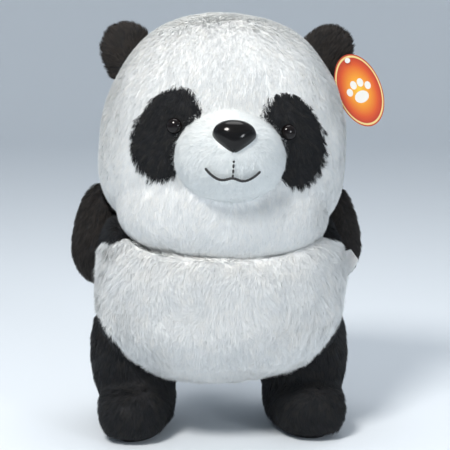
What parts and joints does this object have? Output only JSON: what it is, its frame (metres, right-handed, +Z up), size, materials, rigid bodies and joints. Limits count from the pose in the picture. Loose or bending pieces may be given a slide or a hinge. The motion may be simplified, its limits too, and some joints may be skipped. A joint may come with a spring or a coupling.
{
  "type": "plush panda",
  "caption": "Standing plush panda, about 38 cm tall, with stuffed cloth covers, plastic eyes and nose, bendable ears, arms, legs and head, a swing tag and a sewn-in label",
  "frame": {"origin": "on the floor, under the middle of the whole toy with its nose, tail and tag; the toy's own middle plane is 7 mm towards -X from it", "axes": "+Z up, the face towards -Y, the toy's left at +X"},
  "size_m": [0.2813, 0.255, 0.376],
  "materials": {
    "white_plush": "matte",
    "black_plush": "matte",
    "fibre": "matte",
    "glossy_black": "gloss",
    "plain_plastic": "satin",
    "black_thread": "satin",
    "ribbon": "satin",
    "card": "satin",
    "clear_plastic": "satin"
  },
  "bodies": {
    "trunk": {"shoulder_yoke": "black_plush", "belly_cover": "white_plush", "back_cover": "white_plush", "body_stuffing": "fibre", "tail": "white_plush", "care_label": "ribbon"},
    "neck": {"neck_stuffing": "fibre"},
    "head": {"head_cover": "white_plush", "head_stuffing": "fibre", "muzzle_cover": "white_plush", "muzzle_stuffing": "fibre", "eye_patch_left": "black_plush", "eye_patch_right": "black_plush", "eye_left": "glossy_black", "eye_right": "glossy_black", "eye_washer_left": "plain_plastic", "eye_washer_right": "plain_plastic", "nose": "glossy_black", "nose_washer": "plain_plastic", "mouth_stitching": "black_thread"},
    "ear_left": {"ear_left": "black_plush", "tag_tack": "clear_plastic"},
    "ear_right": {"ear_right": "black_plush"},
    "tag": {"hang_tag": "card"},
    "arm_left": {"arm_cover_left": "black_plush", "arm_stuffing_left": "fibre"},
    "arm_right": {"arm_cover_right": "black_plush", "arm_stuffing_right": "fibre"},
    "leg_left": {"leg_cover_left": "black_plush", "leg_stuffing_left": "fibre", "sole_left": "black_plush"},
    "leg_right": {"leg_cover_right": "black_plush", "leg_stuffing_right": "fibre", "sole_right": "black_plush"}
  },
  "joints": [
    {"name": "head_turn", "type": "hinge", "parent": "trunk", "child": "neck", "pos_m": [-0.007, 0.0055, 0.166], "axis": [0, 0, 1], "range_deg": [-15, 15], "stiffness_Nm_per_rad": 0.6},
    {"name": "head_nod", "type": "hinge", "parent": "neck", "child": "head", "pos_m": [-0.007, 0.0055, 0.168], "axis": [1, 0, 0], "range_deg": [-7, 7], "stiffness_Nm_per_rad": 2},
    {"name": "ear_left_bend", "type": "hinge", "parent": "head", "child": "ear_left", "pos_m": [0.0785, 0.0195, 0.3415], "axis": [0.6112, 0, -0.7915], "range_deg": [-20, 5], "stiffness_Nm_per_rad": 0.03},
    {"name": "ear_right_bend", "type": "hinge", "parent": "head", "child": "ear_right", "pos_m": [-0.0925, 0.0195, 0.3415], "axis": [0.6112, 0, 0.7915], "range_deg": [-20, 5], "stiffness_Nm_per_rad": 0.03},
    {"name": "tag_swing", "type": "hinge", "parent": "ear_left", "child": "tag", "pos_m": [0.10717, 0.0025, 0.3327], "axis": [0, -1, 0], "range_deg": [0, 40]},
    {"name": "arm_left_lift", "type": "hinge", "parent": "trunk", "child": "arm_left", "pos_m": [0.094, 0.0415, 0.196], "axis": [0, -1, 0], "range_deg": [0, 30], "stiffness_Nm_per_rad": 0.05},
    {"name": "arm_right_lift", "type": "hinge", "parent": "trunk", "child": "arm_right", "pos_m": [-0.108, 0.0415, 0.196], "axis": [0, 1, 0], "range_deg": [0, 30], "stiffness_Nm_per_rad": 0.05},
    {"name": "leg_left_fold", "type": "hinge", "parent": "trunk", "child": "leg_left", "pos_m": [0.071, -0.0405, 0.072], "axis": [-1, 0, 0], "range_deg": [0, 40], "stiffness_Nm_per_rad": 0.5},
    {"name": "leg_right_fold", "type": "hinge", "parent": "trunk", "child": "leg_right", "pos_m": [-0.085, -0.0405, 0.072], "axis": [-1, 0, 0], "range_deg": [0, 40], "stiffness_Nm_per_rad": 0.5}
  ]
}
